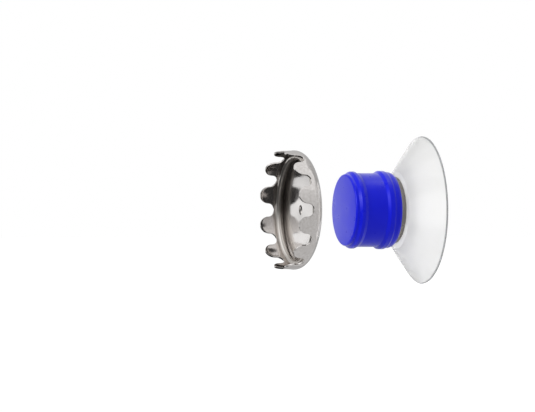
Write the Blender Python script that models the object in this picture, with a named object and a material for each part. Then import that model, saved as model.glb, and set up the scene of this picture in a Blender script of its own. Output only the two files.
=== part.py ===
"""Magnetic soap holder: a suction cup, a steel pot with its magnet, a blue push-on
cover, and the toothed steel cap that is pressed into the soap.

Every piece is turned about one axis. Pieces are drawn upright, with the wall at z = 0
and z growing out of it, and the wall frame lays that axis along world -Y.
"""

import math

import bmesh
import bpy

MM = 0.001

# Spaces between pieces
CLEARANCE = 0.3 * MM           # between two pieces that touch or run in each other
CAP_STAND_OFF = 14.4 * MM      # from the cover's face to the cap's back, with the cap taken off

# Magnet and the ring that centres it
MAGNET_RADIUS = 9.4 * MM
MAGNET_THICKNESS = 5.4 * MM
MAGNET_EDGE = 0.3 * MM
SPACER_WALL = 1.3 * MM

# Knob of the suction cup
NECK_RADIUS = 4.2 * MM
KNOB_GRIP = 2.0 * MM           # how far the knob reaches out past the neck
KNOB_HEIGHT = 4.2 * MM
KNOB_ROUNDING = 2.8 * MM       # how far the knob's shoulder curves in to its flat top

# Steel pot that holds the magnet
POT_WALL = 1.2 * MM            # round the magnet
POT_WEB = 3.4 * MM             # steel behind the magnet
POT_BACK = 1.5 * MM            # rear wall, which the knob grips
POT_EDGE = 0.4 * MM
SOCKET_SIDE_ROOM = 1.0 * MM    # beside the knob
SOCKET_END_ROOM = 3.6 * MM     # beyond the knob, which is clipped in from behind

# Suction cup
RIM_RADIUS = 27.4 * MM
RIM_LAND = 1.2 * MM            # flat ring that lies on the wall
RIM_ROUNDING = 0.25 * MM
HOLLOW_DEPTH = 7.5 * MM        # from the wall to the ceiling of the suction chamber
HOLLOW_SWELL = 1.35            # 1 is a straight underside, more bows it towards the wall
MIDDLE_THICKNESS = 3.0 * MM    # from that ceiling to the flat shoulder behind the pot
SHOULDER_WIDTH = 1.9 * MM      # how far the shoulder reaches out past the pot
FLEX_RING = 0.8 * MM           # from the shoulder's edge in to the line where the skirt bends

# Push-on cover
COVER_WALL = 0.9 * MM
COVER_FACE = 1.2 * MM
COVER_EDGE = 0.35 * MM
BARE_BACK = 2.1 * MM           # how much of the pot stands out behind the cover
FRONT_LIP = 1.5 * MM           # from the cover's face to its front bead
FRONT_BEAD_WIDTH = 3.5 * MM
FRONT_BEAD_RISE = 0.7 * MM
BACK_LIP = 0.95 * MM           # from the cover's back edge to its back bead
BACK_BEAD_WIDTH = 4.8 * MM
BACK_BEAD_RISE = 0.9 * MM

# Toothed steel cap
CAP_SHEET = 0.7 * MM
CAP_FLAT_RADIUS = 13.0 * MM    # flat back that meets the magnet
DOME_REACH = 9.1 * MM          # from the flat back out to the straight wall
DOME_HEIGHT = 5.3 * MM
NOTCH_STAND_OFF = 0.1 * MM     # strip of straight wall between the dome and the notches
TOOTH_COUNT = 12
TOOTH_HEIGHT = 5.6 * MM        # from the bottom of a notch to the tips
TOOTH_TIP_HEIGHT = 3.3 * MM    # rounded end of a tooth
NOTCH_WIDTH = 5.0 * MM

# Flat plate in the bottom of the cap, and the hoop that keeps it there. Both lie on the
# inside of the dome, at an angle that is 0 at the straight wall and 90 at the flat back.
PLATE_RIM_ANGLE = math.radians(39)
DIMPLE_RADIUS = 1.75 * MM            # pressed into the middle of the plate
DIMPLE_DEPTH = 0.7 * MM
HOOP_WIRE_RADIUS = 0.95 * MM
HOOP_SEAT_ANGLE = math.radians(22)

# Sizes that follow from the ones above
SPACER_BORE = MAGNET_RADIUS + CLEARANCE
POT_BORE = SPACER_BORE + SPACER_WALL + CLEARANCE
POT_RADIUS = POT_BORE + POT_WALL
KNOB_RADIUS = NECK_RADIUS + KNOB_GRIP
SOCKET_DEPTH = POT_BACK + CLEARANCE + KNOB_HEIGHT + SOCKET_END_ROOM
MAGNET_POCKET = MAGNET_THICKNESS + CLEARANCE
POT_LENGTH = SOCKET_DEPTH + POT_WEB + MAGNET_POCKET
CUP_HEIGHT = HOLLOW_DEPTH + MIDDLE_THICKNESS
SHOULDER_RADIUS = POT_RADIUS + SHOULDER_WIDTH
FLEX_RADIUS = SHOULDER_RADIUS - FLEX_RING
COVER_BORE = POT_RADIUS + CLEARANCE
COVER_LENGTH = POT_LENGTH - BARE_BACK + CLEARANCE + COVER_FACE
CAP_RADIUS = CAP_FLAT_RADIUS + DOME_REACH
CAP_TIP_PLACE = DOME_HEIGHT + NOTCH_STAND_OFF + TOOTH_HEIGHT

# Where each piece begins, out from the wall
POT_BACK_PLACE = CUP_HEIGHT + CLEARANCE
POT_FRONT_PLACE = POT_BACK_PLACE + POT_LENGTH
COVER_FACE_PLACE = POT_FRONT_PLACE + CLEARANCE + COVER_FACE
CAP_BACK_PLACE = COVER_FACE_PLACE + CAP_STAND_OFF

FINE_SEGMENTS = 72
PLAIN_SEGMENTS = 48
JOINT_MARK = 5 * MM            # how large the empties are drawn


def clear_scene():
    for thing in list(bpy.data.objects):
        bpy.data.objects.remove(thing, do_unlink=True)


def make_material(name, colour, metallic, roughness, alpha=1.0):
    material = bpy.data.materials.new(name)
    material.use_nodes = True
    surface = material.node_tree.nodes["Principled BSDF"]
    surface.inputs["Base Color"].default_value = (*colour, 1.0)
    surface.inputs["Metallic"].default_value = metallic
    surface.inputs["Roughness"].default_value = roughness
    surface.inputs["Alpha"].default_value = alpha
    return material


def make_joint(name, parent, place):
    """An empty on the turning axis, which carries the pieces that move together."""
    joint = bpy.data.objects.new(name, None)
    joint.empty_display_size = JOINT_MARK
    bpy.context.scene.collection.objects.link(joint)
    joint.parent = parent
    joint.location.z = place
    return joint


def arc(centre_r, centre_z, size_r, size_z, start_deg, end_deg, steps):
    """Points (radius, height) on an ellipse, by angle from the +radius direction."""
    points = []
    for step in range(steps + 1):
        angle = math.radians(start_deg + (end_deg - start_deg) * step / steps)
        points.append((centre_r + size_r * math.cos(angle), centre_z + size_z * math.sin(angle)))
    return points


def turn(outline, segments):
    """A bmesh of the outline turned about z. An outline that starts and ends on the
    axis makes a solid, and any other outline is closed into a ring."""
    mesh = bmesh.new()
    points = [mesh.verts.new((radius, 0, height)) for radius, height in outline]
    on_axis = outline[0][0] == 0 and outline[-1][0] == 0
    pairs = list(zip(points, points[1:]))
    if not on_axis:
        pairs.append((points[-1], points[0]))
    edges = [mesh.edges.new(pair) for pair in pairs]
    bmesh.ops.spin(mesh, geom=points + edges, cent=(0, 0, 0), axis=(0, 0, 1),
                   angle=2 * math.pi, steps=segments, use_merge=True)
    bmesh.ops.remove_doubles(mesh, verts=mesh.verts, dist=0.001 * MM)
    bmesh.ops.recalc_face_normals(mesh, faces=mesh.faces)
    return mesh


def make_piece(name, mesh, material, joint):
    data = bpy.data.meshes.new(name)
    mesh.to_mesh(data)
    mesh.free()
    data.shade_smooth()
    data.set_sharp_from_angle(angle=math.radians(35))
    data.materials.append(material)
    piece = bpy.data.objects.new(name, data)
    bpy.context.scene.collection.objects.link(piece)
    piece.parent = joint
    return piece


def make_suction_skirt(material, joint):
    """Thin cone that flattens against the wall. Its underside bows from the rim's flat
    land up to the chamber's ceiling."""
    inner = FLEX_RADIUS + CLEARANCE / 2
    land = RIM_RADIUS - RIM_LAND
    outline = [(inner, CUP_HEIGHT)]
    outline.append((SHOULDER_RADIUS, CUP_HEIGHT))
    outline.append((RIM_RADIUS - RIM_ROUNDING, 2 * RIM_ROUNDING))
    outline += arc(RIM_RADIUS - RIM_ROUNDING, RIM_ROUNDING, RIM_ROUNDING, RIM_ROUNDING, 30, -90, 3)
    steps = 8
    for step in range(steps + 1):
        share = 1 - step / steps
        height = HOLLOW_DEPTH * (1 - share ** HOLLOW_SWELL)
        outline.append((inner + (land - inner) * share, height))
    return make_piece("suction_skirt", turn(outline, FINE_SEGMENTS), material, joint)


def make_suction_knob(material, joint):
    """Thick middle of the suction cup, with the neck and the mushroom knob that the
    pot's rear wall grips. The joint's own place is the ceiling of the chamber."""
    knob_seat = MIDDLE_THICKNESS + CLEARANCE + POT_BACK + CLEARANCE
    outline = [(0, knob_seat + KNOB_HEIGHT)]
    outline += arc(KNOB_RADIUS - KNOB_ROUNDING, knob_seat + KNOB_HEIGHT / 2,
                   KNOB_ROUNDING, KNOB_HEIGHT / 2, 90, 0, 5)
    outline.append((KNOB_RADIUS, knob_seat))
    outline.append((NECK_RADIUS, knob_seat))
    outline.append((NECK_RADIUS, MIDDLE_THICKNESS))
    outline.append((FLEX_RADIUS - CLEARANCE / 2, MIDDLE_THICKNESS))
    outline.append((FLEX_RADIUS - CLEARANCE / 2, 0))
    outline.append((0, 0))
    return make_piece("suction_knob", turn(outline, PLAIN_SEGMENTS), material, joint)


def make_magnet_pot(material, joint):
    """Steel pot: an open pocket for the magnet in front, a thick steel web behind it,
    and a socket at the back whose rear wall closes round the knob's neck."""
    hole = NECK_RADIUS + CLEARANCE
    socket = KNOB_RADIUS + SOCKET_SIDE_ROOM
    pocket_floor = POT_LENGTH - MAGNET_POCKET
    outline = [(0, pocket_floor), (POT_BORE, pocket_floor), (POT_BORE, POT_LENGTH)]
    outline += arc(POT_RADIUS - POT_EDGE, POT_LENGTH - POT_EDGE, POT_EDGE, POT_EDGE, 90, 0, 3)
    outline += arc(POT_RADIUS - POT_EDGE, POT_EDGE, POT_EDGE, POT_EDGE, 0, -90, 3)
    outline += [(hole, 0), (hole, POT_BACK), (socket, POT_BACK)]
    outline += [(socket, SOCKET_DEPTH), (0, SOCKET_DEPTH)]
    return make_piece("magnet_pot", turn(outline, FINE_SEGMENTS), material, joint)


def make_magnet_disc(material, joint):
    bottom = POT_LENGTH - MAGNET_THICKNESS
    outline = [(0, POT_LENGTH)]
    outline += arc(MAGNET_RADIUS - MAGNET_EDGE, POT_LENGTH - MAGNET_EDGE,
                   MAGNET_EDGE, MAGNET_EDGE, 90, 0, 2)
    outline += arc(MAGNET_RADIUS - MAGNET_EDGE, bottom + MAGNET_EDGE,
                   MAGNET_EDGE, MAGNET_EDGE, 0, -90, 2)
    outline.append((0, bottom))
    return make_piece("magnet_disc", turn(outline, PLAIN_SEGMENTS), material, joint)


def make_spacer_ring(material, joint):
    """Plastic ring that keeps the magnet centred, so that its field has to close through
    the steel cap and not straight across to the pot's wall."""
    outer = SPACER_BORE + SPACER_WALL
    bottom = POT_LENGTH - MAGNET_THICKNESS
    outline = [(SPACER_BORE, POT_LENGTH), (outer, POT_LENGTH)]
    outline += [(outer, bottom), (SPACER_BORE, bottom)]
    return make_piece("spacer_ring", turn(outline, PLAIN_SEGMENTS), material, joint)


def make_protector_cover(material, joint):
    """Blue cap-shaped cover with two raised beads to grip it by. The joint's own place
    is its front face, so the cover lies below z = 0."""
    outer = COVER_BORE + COVER_WALL
    front_bead = -(FRONT_LIP + FRONT_BEAD_WIDTH / 2)
    back_bead = BACK_LIP + BACK_BEAD_WIDTH / 2 - COVER_LENGTH
    outline = [(0, 0)]
    outline += arc(outer - COVER_EDGE, -COVER_EDGE, COVER_EDGE, COVER_EDGE, 90, 0, 3)
    outline += arc(outer, front_bead, FRONT_BEAD_RISE, FRONT_BEAD_WIDTH / 2, 90, -90, 8)
    outline += arc(outer, back_bead, BACK_BEAD_RISE, BACK_BEAD_WIDTH / 2, 90, -90, 9)
    outline += arc(outer - COVER_EDGE, COVER_EDGE - COVER_LENGTH, COVER_EDGE, COVER_EDGE, 0, -90, 3)
    outline += [(COVER_BORE, -COVER_LENGTH), (COVER_BORE, -COVER_FACE), (0, -COVER_FACE)]
    return make_piece("protector_cover", turn(outline, FINE_SEGMENTS), material, joint)


def tooth_edge():
    """Outline of the cap's toothed edge, as (angle, depth below the tips). Half of a
    tooth is a quarter ellipse round its tip and a quarter ellipse into the notch."""
    half_pitch = math.pi * CAP_RADIUS / TOOTH_COUNT
    tip_half = half_pitch - NOTCH_WIDTH / 2
    notch_rise = TOOTH_HEIGHT - TOOTH_TIP_HEIGHT
    steps = 4
    half = []
    for step in range(steps):
        angle = math.radians(90) * step / steps
        half.append((tip_half * math.sin(angle), TOOTH_TIP_HEIGHT * (1 - math.cos(angle))))
    for step in range(steps):
        angle = math.radians(90) * step / steps
        half.append((half_pitch - NOTCH_WIDTH / 2 * math.cos(angle),
                     TOOTH_TIP_HEIGHT + notch_rise * math.sin(angle)))
    whole = half + [(half_pitch, TOOTH_HEIGHT)] + [(2 * half_pitch - x, y) for x, y in half[:0:-1]]
    edge = []
    for tooth in range(TOOTH_COUNT):
        start = 2 * math.pi * (tooth + 0.5) / TOOTH_COUNT
        edge += [(start + x / CAP_RADIUS, depth) for x, depth in whole]
    return edge


def make_soap_cap(material, joint):
    """Drawn steel bowl with a toothed wall. Each column of points runs from the flat
    back over the dome and up the straight wall to the toothed edge, then back down the
    inside."""
    outline = arc(CAP_FLAT_RADIUS, DOME_HEIGHT, DOME_REACH, DOME_HEIGHT, -90, 0, 7)
    inside = arc(CAP_FLAT_RADIUS, DOME_HEIGHT, DOME_REACH - CAP_SHEET,
                 DOME_HEIGHT - CAP_SHEET, 0, -90, 7)
    mesh = bmesh.new()
    columns = []
    for angle, depth in tooth_edge():
        edge = CAP_TIP_PLACE - depth
        places = outline + [(CAP_RADIUS, edge), (CAP_RADIUS - CAP_SHEET, edge)] + inside
        columns.append([mesh.verts.new((radius * math.cos(angle), radius * math.sin(angle), height))
                        for radius, height in places])
    back = mesh.verts.new((0, 0, 0))
    floor = mesh.verts.new((0, 0, CAP_SHEET))
    for column, following in zip(columns, columns[1:] + columns[:1]):
        mesh.faces.new((back, following[0], column[0]))
        mesh.faces.new((floor, column[-1], following[-1]))
        for place in range(len(column) - 1):
            mesh.faces.new((column[place], following[place],
                            following[place + 1], column[place + 1]))
    bmesh.ops.recalc_face_normals(mesh, faces=mesh.faces)
    return make_piece("soap_cap", mesh, material, joint)


def off_the_dome(angle, gap):
    """The point (radius, height) that lies a gap off the inside of the dome, square to
    the steel at the angle."""
    reach = DOME_REACH - CAP_SHEET
    depth = DOME_HEIGHT - CAP_SHEET
    out = math.cos(angle) / reach
    down = math.sin(angle) / depth
    step_off = gap / math.hypot(out, down)
    radius = CAP_FLAT_RADIUS + reach * math.cos(angle) - step_off * out
    return radius, DOME_HEIGHT - depth * math.sin(angle) + step_off * down


def make_keeper_plate(material, joint):
    """Thick flat plate that the magnet pulls on. Its underside follows the dome, and its
    flat top, with a small dimple in the middle, is the floor of the cap."""
    steps = 5
    outline = [(0, CAP_SHEET + CLEARANCE)]
    for step in range(steps + 1):
        angle = math.radians(90) + (PLATE_RIM_ANGLE - math.radians(90)) * step / steps
        outline.append(off_the_dome(angle, CLEARANCE))
    top = outline[-1][1]
    outline += [(DIMPLE_RADIUS, top), (DIMPLE_RADIUS, top - DIMPLE_DEPTH), (0, top - DIMPLE_DEPTH)]
    return make_piece("keeper_plate", turn(outline, PLAIN_SEGMENTS), material, joint)


def make_cap_hoop(material, joint):
    """Wire hoop sprung into the dome over the plate, one clearance off the steel."""
    centre_r, centre_z = off_the_dome(HOOP_SEAT_ANGLE, HOOP_WIRE_RADIUS + CLEARANCE)
    outline = arc(centre_r, centre_z, HOOP_WIRE_RADIUS, HOOP_WIRE_RADIUS, 90, -240, 11)
    return make_piece("cap_hoop", turn(outline, FINE_SEGMENTS), material, joint)


def main():
    clear_scene()
    clear_pvc = make_material("clear_pvc", (0.88, 0.91, 0.93), 0.0, 0.18, alpha=0.85)
    plated_steel = make_material("plated_steel", (0.55, 0.53, 0.50), 1.0, 0.30)
    nickel = make_material("nickel_plate", (0.70, 0.68, 0.62), 1.0, 0.22)
    black_nylon = make_material("black_nylon", (0.03, 0.03, 0.03), 0.0, 0.50)
    blue_pvc = make_material("blue_soft_pvc", (0.02, 0.02, 0.52), 0.0, 0.35)
    stainless = make_material("stainless_sheet", (0.62, 0.60, 0.57), 1.0, 0.22)
    keeper_steel = make_material("keeper_steel", (0.68, 0.66, 0.64), 1.0, 0.20)
    hoop_steel = make_material("hoop_wire", (0.60, 0.58, 0.55), 1.0, 0.18)

    wall_frame = make_joint("wall_frame", None, 0)
    wall_frame.rotation_euler.x = math.pi / 2
    press = make_joint("press_joint", wall_frame, HOLLOW_DEPTH)
    swivel = make_joint("swivel_joint", press, POT_BACK_PLACE - HOLLOW_DEPTH)
    pull = make_joint("cover_joint", swivel, COVER_FACE_PLACE - POT_BACK_PLACE)
    dock = make_joint("cap_joint", pull, CAP_BACK_PLACE - COVER_FACE_PLACE)

    make_suction_skirt(clear_pvc, wall_frame)
    make_suction_knob(clear_pvc, press)
    make_magnet_pot(plated_steel, swivel)
    make_magnet_disc(nickel, swivel)
    make_spacer_ring(black_nylon, swivel)
    make_protector_cover(blue_pvc, pull)
    make_soap_cap(stainless, dock)
    make_keeper_plate(keeper_steel, dock)
    make_cap_hoop(hoop_steel, dock)


main()
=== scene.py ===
"""Magnetic soap holder: a clear suction cup, a magnet head in a blue cover, and a
toothed steel cap that clings to it.

Every piece of the real holder is turned, drawn or moulded round one axis, so every
piece here is a surface of two parameters: the angle round that axis, and the place
along an outline. The axis is world -Y, out of the wall. Outlines are written as
(radius, depth) in millimetres, where depth is the distance out from the wall.
"""

# %% [markdown]
# # A magnetic soap holder
#
# The holder is a lesson in one idea: an outline carried round an axis. A suction cup,
# a turned steel pot, a moulded cover and a deep-drawn cap are all made that way in the
# factory, so a grid of points worked out with numpy gives each of them exactly, with as
# many fine rounded corners as we care to write down.
#
# The imported model comes first. It is the frame that all of the looks are hung on, and
# its box is kept, and the floor is set just under its lowest point.

import bpy
import numpy as np
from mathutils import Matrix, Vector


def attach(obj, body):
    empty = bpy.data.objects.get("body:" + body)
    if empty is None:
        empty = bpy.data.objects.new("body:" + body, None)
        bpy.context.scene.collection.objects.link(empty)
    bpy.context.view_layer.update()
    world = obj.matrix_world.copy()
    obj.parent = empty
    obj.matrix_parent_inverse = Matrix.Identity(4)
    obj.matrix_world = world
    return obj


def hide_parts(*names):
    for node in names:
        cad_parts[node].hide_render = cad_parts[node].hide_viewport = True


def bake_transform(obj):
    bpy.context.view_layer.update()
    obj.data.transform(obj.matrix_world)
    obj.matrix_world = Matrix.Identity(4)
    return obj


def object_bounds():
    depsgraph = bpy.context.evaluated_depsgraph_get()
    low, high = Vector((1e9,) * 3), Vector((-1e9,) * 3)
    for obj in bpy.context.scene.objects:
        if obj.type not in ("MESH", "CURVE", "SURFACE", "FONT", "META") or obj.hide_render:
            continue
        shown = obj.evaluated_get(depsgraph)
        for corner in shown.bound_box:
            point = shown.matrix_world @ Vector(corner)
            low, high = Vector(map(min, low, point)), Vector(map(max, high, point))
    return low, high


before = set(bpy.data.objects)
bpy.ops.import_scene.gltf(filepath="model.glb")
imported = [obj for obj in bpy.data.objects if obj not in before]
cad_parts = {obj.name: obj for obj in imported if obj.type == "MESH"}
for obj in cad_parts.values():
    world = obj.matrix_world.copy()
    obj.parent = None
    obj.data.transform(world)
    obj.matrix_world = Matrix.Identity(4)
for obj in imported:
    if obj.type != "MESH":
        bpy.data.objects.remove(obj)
cad_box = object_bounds()
bpy.context.scene.view_settings.view_transform = "Standard"

# %% [markdown]
# ## Outlines
#
# A drawing gives corners and the radius that each is rounded to. `rounded` turns such a
# list into a smooth line, the way a draughtsman does with a compass. Sharp corners are
# what gives a computer model away: a real edge always catches a thin line of light.

# %% Outlines from corners and radii
MM = 0.001
STRAIGHT = 1.55           # half of a corner's angle, in radians, that counts as straight


def rounded(corners, steps=5):
    """The line through corners, each (radius, depth, rounding), as an array of points.

    At a corner the two sides meet at an angle. A circle of the given rounding touches
    both sides at rounding / tan(half that angle) from the corner, and its centre lies on
    the line that halves the angle. The arc turns evenly from one touching point to the
    other."""
    corners = np.array(corners, float)
    points = [corners[:1, :2]]
    for before, here, after in zip(corners[:-2], corners[1:-1], corners[2:]):
        back = (before - here)[:2] / np.hypot(*(before - here)[:2])
        ahead = (after - here)[:2] / np.hypot(*(after - here)[:2])
        half = np.arccos(np.clip(back @ ahead, -1, 1)) / 2
        rounding = here[2]
        if rounding == 0 or half > STRAIGHT:
            points.append(here[None, :2])
            continue
        inwards = (back + ahead) / np.hypot(*(back + ahead))
        centre = here[:2] + inwards * rounding / np.sin(half)
        start = here[:2] + back * rounding / np.tan(half) - centre
        end = here[:2] + ahead * rounding / np.tan(half) - centre
        turn = np.pi - 2 * half
        share = np.linspace(0, 1, steps + 1)[:, None]
        swept = start * np.sin((1 - share) * turn) + end * np.sin(share * turn)
        points.append(centre + swept / np.sin(turn))
    points.append(corners[-1:, :2])
    return np.vstack(points)


def ellipse_arc(centre, size, start, end, steps):
    """Points (radius, depth) on an ellipse: centre plus size times (cos, sin) of an
    angle that runs evenly from start to end, in degrees."""
    angle = np.radians(np.linspace(start, end, steps + 1))
    return np.array(centre) + np.array(size) * np.stack([np.cos(angle), np.sin(angle)], 1)


# %% [markdown]
# ## From a grid of points to a closed mesh
#
# `shell` takes rows of points. Each row goes once round the axis. The rows either end
# in a pole, where a fan of triangles meets one point on the axis, or run on into the
# first row again, as on a ring. A closed mesh has a volume, and its sign says whether
# the faces point outwards, so the function can turn them round when they do not.

# %% Grids to meshes
def shell(name, grid, poles=None):
    """A closed mesh from grid, an array of rows x columns x 3 in millimetres.

    Each column meets the next, and the last meets the first. With poles, the first row
    is closed with a fan on poles[0] and the last with one on poles[1]. Without, the
    last row meets the first."""
    rows, columns = grid.shape[:2]
    index = np.arange(rows * columns).reshape(rows, columns)
    beside = np.roll(index, -1, axis=1)
    upper, upper_beside = np.roll(index, -1, axis=0), np.roll(beside, -1, axis=0)
    faces = np.stack([index, beside, upper_beside, upper], -1)
    points = grid.reshape(-1, 3)
    fans = np.empty((0, 3), int)
    if poles is not None:
        faces = faces[:-1]
        ends = np.array([rows * columns, rows * columns + 1])
        first = np.stack([beside[0], index[0], np.full(columns, ends[0])], -1)
        last = np.stack([index[-1], beside[-1], np.full(columns, ends[1])], -1)
        fans = np.vstack([first, last])
        points = np.vstack([points, poles])
    quads = faces.reshape(-1, 4)
    triangles = np.vstack([quads[:, :3], quads[:, [0, 2, 3]], fans])
    corner = points[triangles]
    volume = np.einsum("ij,ij->i", corner[:, 0], np.cross(corner[:, 1], corner[:, 2])).sum() / 6
    if volume < 0:
        quads, fans = quads[:, ::-1], fans[:, ::-1]
    mesh = bpy.data.meshes.new(name)
    mesh.from_pydata((points * MM).tolist(), [], quads.tolist() + fans.tolist())
    mesh.shade_smooth()
    mesh.set_sharp_from_angle(angle=np.radians(40))
    piece = bpy.data.objects.new(name, mesh)
    bpy.context.scene.collection.objects.link(piece)
    print(f"{name}: {len(mesh.polygons)} faces, {abs(volume) / 1000:.2f} cm3")
    return piece


def turned(name, outline, columns=192):
    """The outline turned about the axis: x = radius cos a, y = -depth, z = radius sin a.
    An outline that starts and ends on the axis gets a pole at each end."""
    angle = np.linspace(0, 2 * np.pi, columns, endpoint=False)
    on_axis = outline[0, 0] == 0 and outline[-1, 0] == 0
    body = outline[1:-1] if on_axis else outline
    radius, depth = body[:, :1], body[:, 1:]
    grid = np.stack([radius * np.cos(angle), -depth + 0 * angle, radius * np.sin(angle)], -1)
    poles = [(0, -outline[0, 1], 0), (0, -outline[-1, 1], 0)] if on_axis else None
    return shell(name, grid, poles)


# %% [markdown]
# ## Colours and nodes
#
# A colour is picked as a hex value, the way a paint or web chart gives it. Blender
# works in linear light, so one function undoes the sRGB curve. Materials are small
# graphs of nodes, and one helper adds a node with its settings and its links.

# %% Colours and nodes
def linear(code, alpha=1.0):
    """An sRGB hex colour as linear RGBA: value / 12.92 in the darks, and
    ((value + 0.055) / 1.055) ** 2.4 above them."""
    value = np.array([int(code[i:i + 2], 16) for i in (1, 3, 5)]) / 255
    light = np.where(value <= 0.04045, value / 12.92, ((value + 0.055) / 1.055) ** 2.4)
    return (*light.tolist(), alpha)


def add(tree, kind, settings=None, **links):
    """Adds a node. settings sets its properties by name, and links feeds its inputs,
    each with a number, a colour, or another node's output socket. An input is named
    with _ for a space, or as i0, i1 where its names repeat."""
    node = tree.nodes.new(kind)
    for name, value in (settings or {}).items():
        setattr(node, name, value)
    for name, value in links.items():
        known = name[0] == "i" and name[1:].isdigit()
        socket = node.inputs[int(name[1:])] if known else node.inputs[name.replace("_", " ")]
        if isinstance(value, bpy.types.NodeSocket):
            tree.links.new(value, socket)
        else:
            socket.default_value = value
    return node


def start_material(name):
    """An empty material, with its tree and its output node."""
    material = bpy.data.materials.new(name)
    material.use_nodes = True
    tree = material.node_tree
    tree.nodes.clear()
    return material, tree, add(tree, "ShaderNodeOutputMaterial")


def noise(tree, place, scale, detail):
    """The output of a noise texture: scale counts its blobs per metre, and detail the
    finer layers that are added to them."""
    return add(tree, "ShaderNodeTexNoise", Vector=place, Scale=scale, Detail=detail).outputs["Fac"]


def spread(tree, value, low, high, start=0.3, end=0.7):
    """Stretches start..end, where most of a noise lies, to low..high."""
    return add(tree, "ShaderNodeMapRange", Value=value, From_Min=start, From_Max=end,
               To_Min=low, To_Max=high).outputs["Result"]


def bump(tree, height, strength, distance):
    """The normal of a surface with a relief. Where height goes from 0 to 1, the relief
    rises by distance metres, and strength says how much of it counts."""
    return add(tree, "ShaderNodeBump", Strength=strength, Distance=distance,
               Height=height).outputs["Normal"]


def between(tree, share, first, second):
    """The colour a share of the way from the first hex colour to the second."""
    return add(tree, "ShaderNodeMix", {"data_type": "RGBA"}, i0=share,
               i6=linear(first), i7=linear(second)).outputs[2]


def coat(tree, output, **settings):
    """The surface itself, one principled shader, linked to the output."""
    surface = add(tree, "ShaderNodeBsdfPrincipled", **settings)
    tree.links.new(surface.outputs["BSDF"], output.inputs["Surface"])


def dress(piece, material, body):
    """Gives a piece its material, and lets it ride on a body."""
    piece.data.materials.append(material)
    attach(piece, body)


# %% [markdown]
# ## The camera
#
# The photograph looks at the holder from the side, level with its axis and turned
# 20 degrees towards the open end of the cap. Far rims are hardly smaller than near
# ones, so the lens was long, and the camera stood well back. It is aimed a little
# beside the holder, which stands in the right half of the frame.

# %% Camera
VIEW_TURN = np.radians(20.0)      # from square on to the axis, towards the open end
PIXELS_PER_MM = 2.69
PHOTO_WIDTH = 535
SENSOR = 36.0
LENS = 800.0
AIM_ASIDE = -57.5                 # from the middle of the cup's rim to the frame's middle
AIM_UP = 1.5
across = np.array([np.sin(VIEW_TURN), np.cos(VIEW_TURN), 0])
towards_camera = np.array([np.cos(VIEW_TURN), -np.sin(VIEW_TURN), 0])
aim = AIM_ASIDE * across + np.array([0, 0, AIM_UP])
distance = PHOTO_WIDTH / PIXELS_PER_MM * LENS / SENSOR
place = (aim + distance * towards_camera) * MM

lens = bpy.data.cameras.new("long_lens")
lens.lens = LENS
lens.sensor_width = SENSOR
lens.clip_start = 0.05
lens.clip_end = 100
camera = bpy.data.objects.new("camera", lens)
camera.location = place
camera.rotation_euler = (np.pi / 2, 0, np.arctan2(towards_camera[0], -towards_camera[1]))
bpy.context.scene.collection.objects.link(camera)
bpy.context.scene.camera = camera
print(f"camera {distance / 1000:.2f} m away")

# %% [markdown]
# ## The suction cup
#
# The cup is one moulding in clear plasticised PVC. Its skirt is a straight cone outside
# and a shallow bowl inside, so that the wall grows thicker towards the middle. Behind
# it a neck and a mushroom knob clip into the steel pot. The skirt stays on the wall
# while the middle is pressed in.

# %% Suction cup
RIM = 27.4                # radius of the rim
RIM_LAND = 1.2            # flat ring that seals on the wall
CHAMBER = 7.5             # depth of the hollow under the cup
CEILING = 13.75           # radius of its flat ceiling
BOW = 1.35                # 1 is a straight underside, and more makes the hollow fuller
UNDERSIDE_ROWS = 40
ROW_CROWDING = 1.3        # sets the rows of the underside closer near the ceiling
SHOULDER = 14.4           # radius of the flat shoulder behind the pot
CUP_BACK = 10.5           # depth of that shoulder
NECK = 4.2
KNOB = 6.2
KNOB_BACK, KNOB_TOP = 12.6, 16.8

share = np.linspace(1, 0, UNDERSIDE_ROWS) ** ROW_CROWDING
underside = np.stack([CEILING + (RIM - RIM_LAND - CEILING) * share,
                      CHAMBER * (1 - share ** BOW)], 1)
cup_outside = rounded([
    (0, KNOB_TOP, 0), (KNOB, KNOB_TOP, 2.3), (KNOB, KNOB_BACK, 0.5), (NECK, KNOB_BACK, 0.4),
    (NECK, CUP_BACK, 0.6), (SHOULDER, CUP_BACK, 0.5), (RIM - 0.3, 0.62, 0.5),
    (RIM, 0.3, 0.18), (RIM, 0, 0.16), (RIM - RIM_LAND, 0, 0),
])
cup_outline = np.vstack([cup_outside, underside[1:], [[0, CHAMBER]]])
suction_cup = turned("suction_cup", cup_outline, columns=240)

# %% [markdown]
# Soft PVC is clear, but never as clear as glass: the plasticiser leaves a faint milk in
# it, and the mould a soft gloss. Half of the light goes through and is blurred a little,
# and the rest is spread by the haze. The grey that light gives the edges of clear sheet
# is painted in: the colour is painted darker over the last half millimetre of the rim,
# as painted shade.

# %% Clear soft PVC
def round_the_axis(tree, coordinates):
    """The radius from the axis and the depth along it, from Object coordinates, as one
    vector (radius, depth, 0) in metres."""
    apart = add(tree, "ShaderNodeSeparateXYZ", Vector=coordinates)
    flat = add(tree, "ShaderNodeCombineXYZ", X=apart.outputs["X"], Z=apart.outputs["Z"])
    radius = add(tree, "ShaderNodeVectorMath", {"operation": "LENGTH"}, i0=flat.outputs[0])
    both = add(tree, "ShaderNodeCombineXYZ", X=radius.outputs["Value"], Y=apart.outputs["Y"])
    return both.outputs[0]


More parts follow.
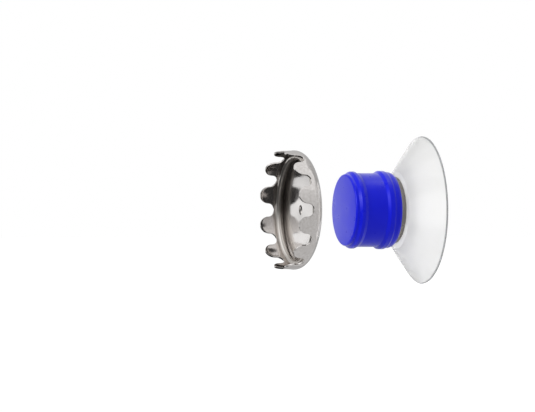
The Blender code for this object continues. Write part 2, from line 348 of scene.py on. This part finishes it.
clear_pvc, tree, output = start_material("clear_soft_pvc")
place_in = add(tree, "ShaderNodeTexCoord").outputs["Object"]
haze = spread(tree, noise(tree, place_in, 140.0, 3.0), 0.16, 0.26, 0.35, 0.65)
outwards = add(tree, "ShaderNodeSeparateXYZ", Vector=round_the_axis(tree, place_in)).outputs["X"]
# painted shade: the base colour turns grey over the last half millimetre of the rim
painted_rim_shade_share = add(tree, "ShaderNodeMapRange", {"interpolation_type": "SMOOTHSTEP"}, Value=outwards,
                 From_Min=(RIM - 0.5) * MM, From_Max=(RIM - 0.2) * MM)
milk_and_painted_rim_shade = between(tree, painted_rim_shade_share.outputs["Result"], "#fefefd", "#b4b6b8")
ripple = bump(tree, noise(tree, place_in, 420.0, 2.0), 0.12, 0.0004)
coat(tree, output, Base_Color=milk_and_painted_rim_shade, IOR=1.53, Roughness=haze, Transmission_Weight=0.5,
     Normal=ripple)

suction_cup.data.materials.append(clear_pvc)
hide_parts("suction_skirt", "suction_knob")
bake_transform(suction_cup)

# %% [markdown]
# ## The steel pot
#
# A pot magnet puts a disc magnet in a cup of mild steel, which leads the field round to
# the front. This pot is turned from bar and plated with dull nickel. Only its back edge
# shows, until the cover is pulled off.

# %% Steel pot
POT = 12.5
POT_BACK, POT_FRONT = 10.8, 29.5
POCKET = 11.3                             # radius of the magnet's pocket, open to the front
POCKET_FLOOR = 23.8
HOLE = 4.5                                # radius of the hole that the cup's neck runs in
SOCKET = 7.2                              # radius of the socket for the knob
SOCKET_BACK, SOCKET_FRONT = 12.3, 20.4

pot_outline = rounded([
    (0, POCKET_FLOOR, 0), (POCKET, POCKET_FLOOR, 0.3), (POCKET, POT_FRONT, 0.15),
    (POT, POT_FRONT, 0.4), (POT, POT_BACK, 0.45), (HOLE, POT_BACK, 0.25),
    (HOLE, SOCKET_BACK, 0.2), (SOCKET, SOCKET_BACK, 0.2), (SOCKET, SOCKET_FRONT, 0.3),
    (0, SOCKET_FRONT, 0),
])
magnet_pot = turned("magnet_pot_turned", pot_outline)
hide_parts("magnet_pot")

# %% [markdown]
# Turning leaves fine rings that run round the axis. They depend only on the radius and
# on the depth, so a noise that reads those two numbers draws rings and nothing else.
# The real grooves are a tenth of a millimetre apart, and are drawn about 0.4 mm apart
# here so that they show.

# %% Dull nickel plate
nickel, tree, output = start_material("dull_nickel_plate")
place_in = add(tree, "ShaderNodeTexCoord").outputs["Object"]
stain = noise(tree, place_in, 260.0, 4.0)
grooves = bump(tree, noise(tree, round_the_axis(tree, place_in), 2500.0, 2.0), 0.25, 0.00005)
coat(tree, output, Base_Color=between(tree, stain, "#75716e", "#8b8784"), Metallic=1.0,
     Roughness=spread(tree, stain, 0.24, 0.36), Normal=grooves)
dress(magnet_pot, nickel, "magnet_head")

# %% [markdown]
# ## The magnet and its spacer ring
#
# The disc is sintered neodymium, which rusts, so it is plated bright. A black nylon
# ring keeps it in the middle of the pot. Both show when the cover comes off.

# %% Magnet and spacer ring
MAGNET = 9.4
MAGNET_BACK = 24.1
RING_INSIDE, RING_OUTSIDE = 9.7, 11.0

magnet_outline = rounded([
    (0, POT_FRONT, 0), (MAGNET, POT_FRONT, 0.35), (MAGNET, MAGNET_BACK, 0.35),
    (0, MAGNET_BACK, 0),
])
magnet_disc = turned("magnet_disc_plated", magnet_outline, columns=160)
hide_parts("magnet_disc")
ring_middle = (RING_INSIDE + RING_OUTSIDE) / 2
ring_outline = rounded([
    (ring_middle, POT_FRONT, 0), (RING_OUTSIDE, POT_FRONT, 0.2),
    (RING_OUTSIDE, MAGNET_BACK, 0.1), (RING_INSIDE, MAGNET_BACK, 0.1),
    (RING_INSIDE, POT_FRONT, 0.2), (ring_middle, POT_FRONT, 0),
])[:-1]
spacer_ring = turned("spacer_ring_moulded", ring_outline, columns=160)
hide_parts("spacer_ring")

# %% Bright nickel and black nylon
bright, tree, output = start_material("bright_nickel_on_magnet")
place_in = add(tree, "ShaderNodeTexCoord").outputs["Object"]
smears = spread(tree, noise(tree, place_in, 180.0, 3.0), 0.10, 0.20)
orange_peel = bump(tree, noise(tree, place_in, 700.0, 2.0), 0.15, 0.0001)
coat(tree, output, Base_Color=linear("#d3cec4"), Metallic=1.0, Roughness=smears,
     Normal=orange_peel)
dress(magnet_disc, bright, "magnet_head")

nylon, tree, output = start_material("black_moulded_nylon")
place_in = add(tree, "ShaderNodeTexCoord").outputs["Object"]
grain = noise(tree, place_in, 1800.0, 2.0)
coat(tree, output, Base_Color=linear("#26272a"), IOR=1.53,
     Roughness=spread(tree, grain, 0.42, 0.58), Normal=bump(tree, grain, 0.2, 0.00005))
dress(spacer_ring, nylon, "magnet_head")

# %% [markdown]
# ## The blue cover
#
# A soft PVC cap is stretched over the pot, so that the magnet neither scratches the
# toothed cap nor rusts. Its outline is one line: a flat face with a rounded edge, a
# short lip, the front bead with a soft fillet behind it, the plain barrel, the wider
# back bead with a step down its far side, and a thin shoulder. The front bead starts
# from a tight groove behind the lip, and that groove and the fillets are what the
# light picks out.

# %% Blue cover
BARREL = 13.7
COVER_BACK, FACE = 12.9, 31.0
COVER_BORE = 12.8
FACE_THICKNESS = 1.2

cover_outline = rounded([
    (0, FACE, 0), (BARREL - 0.25, FACE, 0.8), (BARREL - 0.3, 29.7, 0.15),       # face, lip
    (BARREL + 0.6, 28.7, 0.3), (BARREL + 0.65, 27.6, 0.5),                      # front bead
    (BARREL, 26.3, 0.6), (BARREL, 18.6, 0.25),                                  # barrel
    (BARREL + 0.85, 17.6, 0.3), (BARREL + 0.88, 16.0, 0.3),                     # back bead
    (BARREL + 0.5, 15.3, 0.3), (BARREL + 0.42, 14.0, 0.4),                      # its step
    (BARREL, COVER_BACK, 0.4), (COVER_BORE, COVER_BACK, 0.15),                  # shoulder
    (COVER_BORE, FACE - FACE_THICKNESS, 0.3), (0, FACE - FACE_THICKNESS, 0),    # inside
])
cover = turned("protector_cover_moulded", cover_outline, columns=240)
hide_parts("protector_cover")

# %% [markdown]
# Soft PVC in a strong ultramarine. The colour itself is deep. The pale lavender on the
# face and near the top and bottom is the bloom of soft plastic, a fine dusty film that
# scatters light at low angles, and a little gloss from the white room. The mould was
# blasted, which leaves a fine satin grain.

# %% Blue soft PVC
blue_pvc, tree, output = start_material("blue_soft_pvc_satin")
place_in = add(tree, "ShaderNodeTexCoord").outputs["Object"]
cloud = noise(tree, place_in, 160.0, 3.0)
satin = bump(tree, noise(tree, place_in, 1500.0, 3.0), 0.06, 0.00004)
coat(tree, output, Base_Color=between(tree, cloud, "#000cc2", "#0010ce"), IOR=1.5,
     Specular_IOR_Level=0.17, Sheen_Weight=0.5, Sheen_Roughness=0.36,
     Roughness=spread(tree, cloud, 0.26, 0.36), Normal=satin)
dress(cover, blue_pvc, "cover")

# %% [markdown]
# ## The toothed cap
#
# A disc of stainless steel is drawn into a bowl, and its edge is punched into twelve
# round teeth, which bite into something soft. The surface is a grid again, but its
# columns end at the toothed edge, so the wall is cut to shape without a single cut. The
# edge curve is made of quarter ellipses: one round the tip of a tooth and one into the
# notch.

# %% The toothed edge
TEETH = 12
CAP = 22.1                # radius of the straight wall
SHEET = 0.7
CAP_BACK = 45.4           # depth of the flat back
DOME_RISE = 5.3           # from the flat back up to the straight wall
DOME_REACH = 9.1
CAP_HEIGHT = 11.0         # from the flat back to the tips
TOOTH_HEIGHT = 5.6
TIP_HEIGHT = 3.3          # the rounded part of a tooth
NOTCH = 5.0               # width of a notch
EDGE_ROUNDING = 0.06
WALL_START = 4.6          # height over the back where plain circles give way to the teeth
FIRST_RING = 1.0          # radius of the smallest circle on the flat back
FLAT_RINGS, DOME_STEPS, WALL_STEPS, LIP_STEPS = 7, 22, 9, 5


def tooth_edge(steps):
    """One tooth and its notches as (distance round the wall, height over the back).

    Half of it is x = a sin t, y = top - b (1 - cos t) round the tip, then
    x = half the pitch - n cos t, y = middle - c sin t into the notch, for t from 0 to
    90 degrees. The other half is the same in a mirror."""
    half_pitch = np.pi * CAP / TEETH
    tip_half = half_pitch - NOTCH / 2
    angle = np.linspace(0, np.pi / 2, steps, endpoint=False)
    tip = np.stack([tip_half * np.sin(angle), CAP_HEIGHT - TIP_HEIGHT * (1 - np.cos(angle))], 1)
    into = np.stack([half_pitch - NOTCH / 2 * np.cos(angle),
                     CAP_HEIGHT - TIP_HEIGHT - (TOOTH_HEIGHT - TIP_HEIGHT) * np.sin(angle)], 1)
    half = np.vstack([tip, into, [[half_pitch, CAP_HEIGHT - TOOTH_HEIGHT]]])
    mirrored = np.stack([2 * half_pitch - half[:, 0], half[:, 1]], 1)[-2:0:-1]
    return np.vstack([half, mirrored])


one_tooth = tooth_edge(steps=12)
turns = (np.arange(TEETH) + 0.5) * 2 * np.pi * CAP / TEETH
edge_line = (one_tooth[None] + np.stack([turns, 0 * turns], 1)[:, None]).reshape(-1, 2)
chord = np.roll(edge_line, -1, 0) - np.roll(edge_line, 1, 0)
chord[:, 0] = (chord[:, 0] + np.pi * CAP) % (2 * np.pi * CAP) - np.pi * CAP
chord /= np.linalg.norm(chord, axis=1)[:, None]
into_steel = np.stack([chord[:, 1], -chord[:, 0]], 1)
print(f"toothed edge: {len(edge_line)} points")

# %% [markdown]
# The rest of the cap follows from that line. Rows on the back and the dome are plain
# circles. Above them the rows slide up to the edge, each column by its own height. At
# the edge the sheet is rounded over to its inner side, by stepping in from the edge
# line as the radius shrinks.

# %% The drawn bowl
def wall_radius(height, reach, rise):
    """Radius of the bowl at a height over its back: an ellipse of the given reach and
    rise that starts at the flat back, and a straight wall above it."""
    below = np.clip((DOME_RISE - height) / rise, 0, 1)
    return CAP - DOME_REACH + reach * np.sqrt(1 - below ** 2)


def wall_rows(reach, rise, steps):
    """Rows from the top of the dome up to just short of the toothed edge, as arrays of
    (distance round, height, radius)."""
    start = np.stack([edge_line[:, 0], np.full(len(edge_line), WALL_START)], 1)
    end = edge_line + EDGE_ROUNDING * into_steel
    share = np.linspace(0, 1, steps)[:, None, None]
    line = start + (end - start) * share
    return np.concatenate([line, wall_radius(line[..., 1:], reach, rise)], -1)


def dome_rows(reach, rise, steps):
    """Plain circles from near the middle of the flat back up to the top of the dome."""
    radii = np.linspace(FIRST_RING, CAP - DOME_REACH, FLAT_RINGS)[:-1]
    flat = np.stack([radii, np.full(len(radii), DOME_RISE - rise)], 1)
    last = np.degrees(np.arcsin((WALL_START - DOME_RISE) / rise))
    dome = ellipse_arc((CAP - DOME_REACH, DOME_RISE), (reach, rise), -90, last, steps)[:-1]
    line = np.vstack([flat, dome])
    rows = np.empty((len(line), len(edge_line), 3))
    rows[..., 0] = edge_line[:, 0]
    rows[..., 1] = line[:, 1:]
    rows[..., 2] = line[:, :1]
    return rows


def lip_rows(steps):
    """The rounded edge of the sheet: a quarter circle from the outer face to the edge
    line, and another from the edge line to the inner face."""
    angle = np.linspace(0, np.pi / 2, steps)[1:, None, None]
    radius = wall_radius(edge_line[:, 1:], DOME_REACH, DOME_RISE)
    line = edge_line + EDGE_ROUNDING * (1 - np.sin(angle)) * into_steel
    shrunk = radius - EDGE_ROUNDING * (1 - np.cos(angle)) + 0 * line[..., :1]
    outer = np.concatenate([line, shrunk], -1)
    inner = outer[::-1].copy()
    inner[..., 2] = 2 * radius[:, 0] - SHEET - inner[..., 2]
    return np.concatenate([outer, inner])


outside = (DOME_REACH, DOME_RISE)
inside = (DOME_REACH - SHEET, DOME_RISE - SHEET)
rows = np.concatenate([
    dome_rows(*outside, DOME_STEPS), wall_rows(*outside, WALL_STEPS), lip_rows(LIP_STEPS),
    wall_rows(*inside, WALL_STEPS)[::-1], dome_rows(*inside, DOME_STEPS)[::-1],
])
angle = rows[..., 0] / CAP
grid = np.stack([rows[..., 2] * np.cos(angle), -(CAP_BACK + rows[..., 1]),
                 rows[..., 2] * np.sin(angle)], -1)
soap_cap = shell("soap_cap_drawn", grid, [(0, -CAP_BACK, 0), (0, -CAP_BACK - SHEET, 0)])
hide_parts("soap_cap")

# %% [markdown]
# The sheet is bright stainless steel. Drawing it over a punch stretches it outwards from
# the middle and leaves faint lines in that direction, and tumbling rubs them soft and
# leaves a fine grain of lighter and darker specks. A bowl of bright metal mirrors
# itself many times over, which makes its darks darker still.

# %% Bright stainless sheet
steel, tree, output = start_material("bright_stainless_sheet")
place_in = add(tree, "ShaderNodeTexCoord").outputs["Object"]
apart = add(tree, "ShaderNodeSeparateXYZ", Vector=place_in)
bearing = add(tree, "ShaderNodeMath", {"operation": "ARCTAN2"},
              i0=apart.outputs["Z"], i1=apart.outputs["X"])
along = add(tree, "ShaderNodeCombineXYZ", X=bearing.outputs[0], Y=apart.outputs["Y"])
draw_lines = noise(tree, along.outputs[0], 28.0, 3.0)
relief = add(tree, "ShaderNodeMath", {"operation": "MULTIPLY_ADD"},
             i0=draw_lines, i1=0.12, i2=noise(tree, place_in, 190.0, 2.0))
specks = between(tree, noise(tree, place_in, 1100.0, 2.0), "#beb9b6", "#e6e3e1")
coat(tree, output, Base_Color=specks, Metallic=1.0, Roughness=spread(tree, draw_lines, 0.05, 0.09),
     Normal=bump(tree, relief.outputs[0], 0.12, 0.0004))
dress(soap_cap, steel, "cap")

# %% [markdown]
# ## The keeper plate
#
# Thin stainless steel is hardly magnetic, so a thick disc of mild steel lies in the
# bottom of the cap for the magnet to pull on. Its underside follows the dome, and its
# flat top is the floor of the cap. It works as a mirror there: the light and dark
# patches in the bowl are the far notches and teeth, seen again beyond it. The press
# leaves a small round dimple in the middle.

# %% Keeper plate
PLATE = 19.45                         # radius of its flat top
PLATE_BACK, PLATE_TOP = 46.4, 48.15
DIMPLE, DIMPLE_FLOOR = 1.7, 47.5

plate_outline = rounded([
    (0, DIMPLE_FLOOR, 0), (DIMPLE, DIMPLE_FLOOR, 0.1), (DIMPLE + 0.1, PLATE_TOP, 0.08),
    (PLATE, PLATE_TOP, 0.12), (18.1, 47.2, 1.5), (16.2, 46.55, 2.5),
    (13.2, PLATE_BACK, 1.5), (0, PLATE_BACK, 0),
])
keeper_plate = turned("keeper_plate_stamped", plate_outline, columns=160)
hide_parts("keeper_plate")

# %% [markdown]
# The plate is mild steel, stamped flat and then plated with bright nickel against rust.
# Use has rubbed the plating a little dull, and the stamping left it not quite flat.

# %% Bright plate on mild steel
plated, tree, output = start_material("bright_plate_on_keeper")
place_in = add(tree, "ShaderNodeTexCoord").outputs["Object"]
rubbed = spread(tree, noise(tree, place_in, 230.0, 4.0), 0.13, 0.18)
uneven = bump(tree, noise(tree, place_in, 90.0, 1.0), 0.1, 0.0003)
coat(tree, output, Base_Color=linear("#e6e3e1"), Metallic=1.0, Roughness=rubbed, Normal=uneven)
dress(keeper_plate, plated, "cap")

# %% [markdown]
# ## The hoop in the cap
#
# A ring of bright round wire is sprung into the bowl over the plate, and keeps it from
# falling out. It is a circle carried round a circle.

# %% Wire hoop
WIRE = 0.95               # radius of the wire
HOOP = 19.78              # radius of the circle that it is bent to
HOOP_PLACE = 49.75        # depth of that circle
hoop_outline = ellipse_arc((HOOP, HOOP_PLACE), (WIRE, WIRE), 0, 360, steps=24)[:-1]
cap_hoop = turned("cap_hoop_wire", hoop_outline, columns=240)
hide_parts("cap_hoop")

# %% [markdown]
# Wire is pulled through a die. The die leaves fine scratches along it, which blur what
# the wire mirrors into soft bands.

# %% Drawn wire
wire, tree, output = start_material("bright_drawn_wire")
place_in = add(tree, "ShaderNodeTexCoord").outputs["Object"]
scratches = noise(tree, round_the_axis(tree, place_in), 3500.0, 1.0)
coat(tree, output, Base_Color=linear("#e4dfd9"), Metallic=1.0,
     Roughness=spread(tree, scratches, 0.30, 0.35), Normal=bump(tree, scratches, 0.03, 0.00003))
dress(cap_hoop, wire, "cap")

# %% [markdown]
# ## The studio
#
# The photograph is a cut-out on white. A white sweep and a white room give the same
# look: the floor and the world show as plain white to the camera, to mirrors and
# through clear pieces, while the light that falls on the object stays at a plain level.

# %% Floor
WHITE = (1, 1, 1, 1)
FLOOR_GAP = 0.1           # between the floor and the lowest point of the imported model
floor_height = cad_box[0][2] / MM - FLOOR_GAP


def card(name, corners):
    """A flat four-sided card of the studio, from its corners in millimetres."""
    mesh = bpy.data.meshes.new(name)
    mesh.from_pydata((np.array(corners, float) * MM).tolist(), [], [(0, 1, 2, 3)])
    board = bpy.data.objects.new(name, mesh)
    bpy.context.scene.collection.objects.link(board)
    return board


def flat_corners(x, y, height):
    """The corners of a level card, from its ranges of x and y."""
    return [(x[0], y[0], height), (x[1], y[0], height), (x[1], y[1], height), (x[0], y[1], height)]


SWEEP = (-6000.0, 6000.0)
FLOOR_LIFT = 0.62         # makes the floor as white to the camera as the room behind it
floor = card("floor", flat_corners(SWEEP, SWEEP, floor_height))


def ray_kinds(tree):
    """Two sockets that are 1 for the ray at hand and 0 for others: seen by the camera
    itself, and seen in a mirror or through something clear."""
    ray = add(tree, "ShaderNodeLightPath")
    mirror_or_clear = add(tree, "ShaderNodeMath", {"operation": "MAXIMUM"},
                          i0=ray.outputs["Is Glossy Ray"], i1=ray.outputs["Is Transmission Ray"])
    return ray.outputs["Is Camera Ray"], mirror_or_clear.outputs[0]


white_floor, tree, output = start_material("white_sweep")
by_camera, mirror_or_clear = ray_kinds(tree)
lift = add(tree, "ShaderNodeMath", {"operation": "MULTIPLY"}, i0=by_camera, i1=FLOOR_LIFT)
paper = add(tree, "ShaderNodeBsdfDiffuse", Color=linear("#e6e6e6"))
glow = add(tree, "ShaderNodeEmission", Color=WHITE, Strength=lift.outputs[0])
shaded = add(tree, "ShaderNodeAddShader", i0=paper.outputs[0], i1=glow.outputs[0])
plain_white = add(tree, "ShaderNodeEmission", Color=WHITE, Strength=1.0)
lit = add(tree, "ShaderNodeMixShader", i0=mirror_or_clear, i1=shaded.outputs[0],
          i2=plain_white.outputs[0])
from_below = add(tree, "ShaderNodeNewGeometry").outputs["Backfacing"]
clear = add(tree, "ShaderNodeBsdfTransparent")
one_sided = add(tree, "ShaderNodeMixShader", i0=from_below, i1=lit.outputs[0], i2=clear.outputs[0])
tree.links.new(one_sided.outputs[0], output.inputs["Surface"])
floor.data.materials.append(white_floor)

# %% World
world = bpy.data.worlds.new("white_room")
bpy.context.scene.world = world
world.use_nodes = True
tree = world.node_tree
tree.nodes.clear()
ROOM_LIGHT = 0.52         # the room's light on the object, where white to look at is 1
by_camera, mirror_or_clear = ray_kinds(tree)
looked_at = add(tree, "ShaderNodeMath", {"operation": "MAXIMUM"},
                i0=by_camera, i1=mirror_or_clear)
strength = spread(tree, looked_at.outputs[0], ROOM_LIGHT, 1.0, 0.0, 1.0)
room = add(tree, "ShaderNodeBackground", Color=WHITE, Strength=strength)
tree.links.new(room.outputs[0], add(tree, "ShaderNodeOutputWorld").inputs["Surface"])

# %% [markdown]
# Bright metal shows nothing but what stands round it, so in a white room it looks like
# paper. Photographers stand cards round it, and these are seen in reflections only.
# Dark ones lie and stand low before the open cap and give the bowl its blacks. Grey
# ones lie beside and behind the holder and stand beyond it, and give the outside of the
# cap its even tone. A low pale one stands on the far side, and is what shines between
# the mirrored teeth. A small white one lies under the back of the head. Most upright
# cards grow lighter towards the top, as a lit wall does.

# %% Cards that only gloss sees
LOW = floor_height + 0.2  # just over the floor
LOW_TOO = LOW + 0.2       # for a card that lies on another card
MOUTH = -57               # y just beyond the tips of the cap's teeth
FRONT, LEFT, RIGHT = -1200, -900, 1200


def gloss_card(name, corners, tone, top_tone=None):
    """A card that shows in reflections and nowhere else. Its tone runs from 0 for black
    to 1 for white, and changes evenly with height to top_tone where that is given."""
    board = card(name, corners)
    board.visible_camera = board.visible_diffuse = board.visible_transmission = False
    board.visible_shadow = board.visible_volume_scatter = False
    paint, tree, output = start_material(name + "_paint")
    glow = add(tree, "ShaderNodeEmission", Color=WHITE, Strength=tone)
    if top_tone is not None:
        height = add(tree, "ShaderNodeSeparateXYZ",
                     Vector=add(tree, "ShaderNodeTexCoord").outputs["Object"]).outputs["Z"]
        heights = np.array(corners, float)[:, 2] * MM
        fade = spread(tree, height, tone, top_tone, heights.min(), heights.max())
        tree.links.new(fade, glow.inputs["Strength"])
    tree.links.new(glow.outputs[0], output.inputs["Surface"])
    paint.cycles.emission_sampling = "NONE"
    board.data.materials.append(paint)


def level(name, x, y, tone, height=LOW):
    """A level card of one tone, from its ranges of x and y."""
    gloss_card(name, flat_corners(x, y, height), tone)


def upright(name, start, end, top, tone, top_tone):
    """A card that stands on the line from start to end, each (x, y), up to a height."""
    gloss_card(name, [(*start, LOW), (*end, LOW), (*end, top), (*start, top)], tone, top_tone)


# before the cap's open side
level("dark_front", (-200, RIGHT), (FRONT, MOUTH), 0.12)
level("black_front", (-90, 500), (-300, MOUTH), 0.05, LOW_TOO)
upright("front_wall", (LEFT, FRONT), (RIGHT, FRONT), 1200, 0.20, 1.60)
upright("low_front", (-450, FRONT + 10), (RIGHT - 10, FRONT + 10), 260, 0.08, 0.25)
upright("right_wall", (RIGHT, FRONT), (RIGHT, MOUTH), 1200, 0.40, 0.95)
upright("low_right", (RIGHT - 10, FRONT + 10), (RIGHT - 10, MOUTH), 200, 0.03, 0.20)
upright("left_wall", (LEFT, FRONT), (LEFT, MOUTH), 1200, 0.45, 0.45)
upright("low_left", (LEFT + 10, FRONT), (LEFT + 10, MOUTH), 120, 1.0, 0.5)
# beside and behind the holder
level("grey_floor", (0, 600), (MOUTH, 900), 0.66)
level("white_under_head", (0, 22), (-14, 8), 1.0, LOW_TOO)
level("darker_floor", (-3000, 0), (MOUTH, 900), 0.50)
upright("grey_right", (600, MOUTH), (600, 900), 500, 0.66, 0.86)
upright("grey_behind", (600, 900), (0, 900), 800, 0.68, 0.80)
upright("darker_behind", (0, 900), (-3000, 900), 2200, 0.46, 0.75)

# %% [markdown]
# Four softboxes light the holder. The key stands out beyond the cap and over it, and
# the top one gives the upper edges their shine. Both light chosen pieces only, as flags
# and barn doors do in a studio. The cup has a lamp of its own straight in front, so that
# the head throws no shadow on it. The fill stands on the wall's side. The cap mirrors
# the cards and none of the lamps, and the head is kept out of every mirror image,
# because the cap shows no blue.

# %% Lamps
MIDDLE = np.array([0, -28, 0]) * MM   # half-way along the holder


def softbox(name, place, size, power):
    """A square lamp of the given size in metres that faces the middle of the holder."""
    lamp = bpy.data.lights.new(name, "AREA")
    lamp.size = size
    lamp.energy = power
    box = bpy.data.objects.new(name, lamp)
    box.location = place
    facing = MIDDLE - np.array(place)
    box.rotation_euler = (np.arccos(-facing[2] / np.linalg.norm(facing)), 0,
                          np.arctan2(facing[1], facing[0]) - np.pi / 2)
    box.visible_camera = False
    bpy.context.scene.collection.objects.link(box)
    return box


def aim_at(lamp, lit, shading):
    """Lets a lamp light some pieces only, and lets some pieces only throw a shadow."""
    linking = lamp.light_linking
    linking.receiver_collection = bpy.data.collections.new(lamp.name + "_lights")
    linking.blocker_collection = bpy.data.collections.new(lamp.name + "_shades")
    for piece in lit:
        linking.receiver_collection.objects.link(piece)
    for piece in shading:
        linking.blocker_collection.objects.link(piece)


head = (magnet_pot, magnet_disc, spacer_ring, cover)
key = softbox("key_softbox", (0.2, -0.92, 0.34), 0.5, 7.5)
aim_at(key, (*head, floor), (*head, suction_cup, floor))
top = softbox("top_softbox", (-0.1, 0.1, 1.2), 0.7, 3.2)
aim_at(top, (cover, spacer_ring, suction_cup, floor), (*head, suction_cup, soap_cap, floor))
cup_light = softbox("cup_softbox", (0.05, -1.0, 0.0), 0.6, 5.2)
aim_at(cup_light, (suction_cup,), (suction_cup,))
cup_light.visible_glossy = False
softbox("fill_softbox", (0.7, 0.7, 0.35), 0.8, 1.2).visible_glossy = False
for piece in head:
    piece.visible_glossy = False
